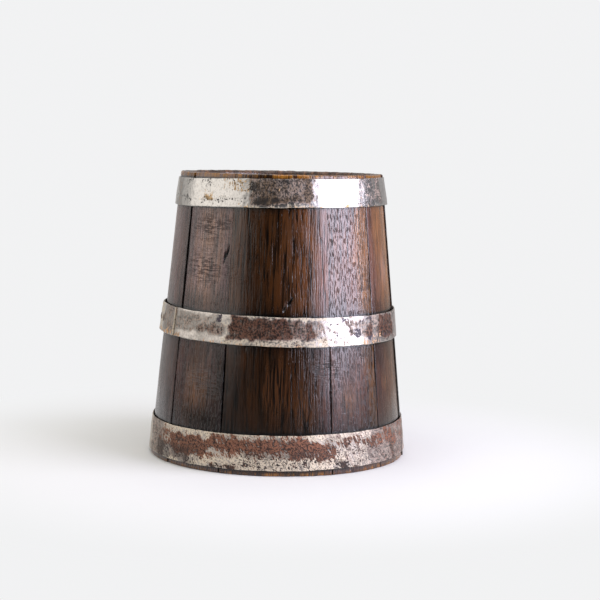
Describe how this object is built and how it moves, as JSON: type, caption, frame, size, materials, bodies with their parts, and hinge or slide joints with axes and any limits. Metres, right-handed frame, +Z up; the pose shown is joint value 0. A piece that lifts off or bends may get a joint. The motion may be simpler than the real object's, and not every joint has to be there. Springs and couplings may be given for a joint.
{
  "type": "butter churn tub",
  "caption": "Open-topped coopered oak tub of a small butter churn, wide at the foot and narrow at the mouth, bound with flat riveted steel hoops.",
  "frame": {"origin": "centre of the foot circle, on the surface the tub stands on", "axes": "+Z up along the tub's axis, from the foot to the mouth; -Y is the front, +X its right-hand side"},
  "size_m": [0.3037, 0.3038, 0.33],
  "materials": {
    "oak_stave": "satin",
    "oak_head": "matte",
    "dowel_wood": "matte",
    "hoop_steel_bright": "satin",
    "hoop_steel_patina": "satin",
    "hoop_steel_rusted": "matte",
    "rivet_iron": "matte"
  },
  "bodies": {
    "root": {"stave_01": "oak_stave", "stave_02": "oak_stave", "stave_03": "oak_stave", "stave_04": "oak_stave", "stave_05": "oak_stave", "stave_06": "oak_stave", "stave_07": "oak_stave", "stave_08": "oak_stave", "stave_09": "oak_stave", "stave_10": "oak_stave", "stave_11": "oak_stave", "stave_12": "oak_stave", "stave_13": "oak_stave", "stave_14": "oak_stave", "head_board_1": "oak_head", "head_board_2": "oak_head", "head_board_3": "oak_head", "head_board_4": "oak_head", "head_dowels": "dowel_wood", "hoop_top": "hoop_steel_bright", "hoop_middle": "hoop_steel_patina", "hoop_bottom": "hoop_steel_rusted", "rivets_top": "rivet_iron", "rivets_middle": "rivet_iron", "rivets_bottom": "rivet_iron"}
  },
  "joints": []
}
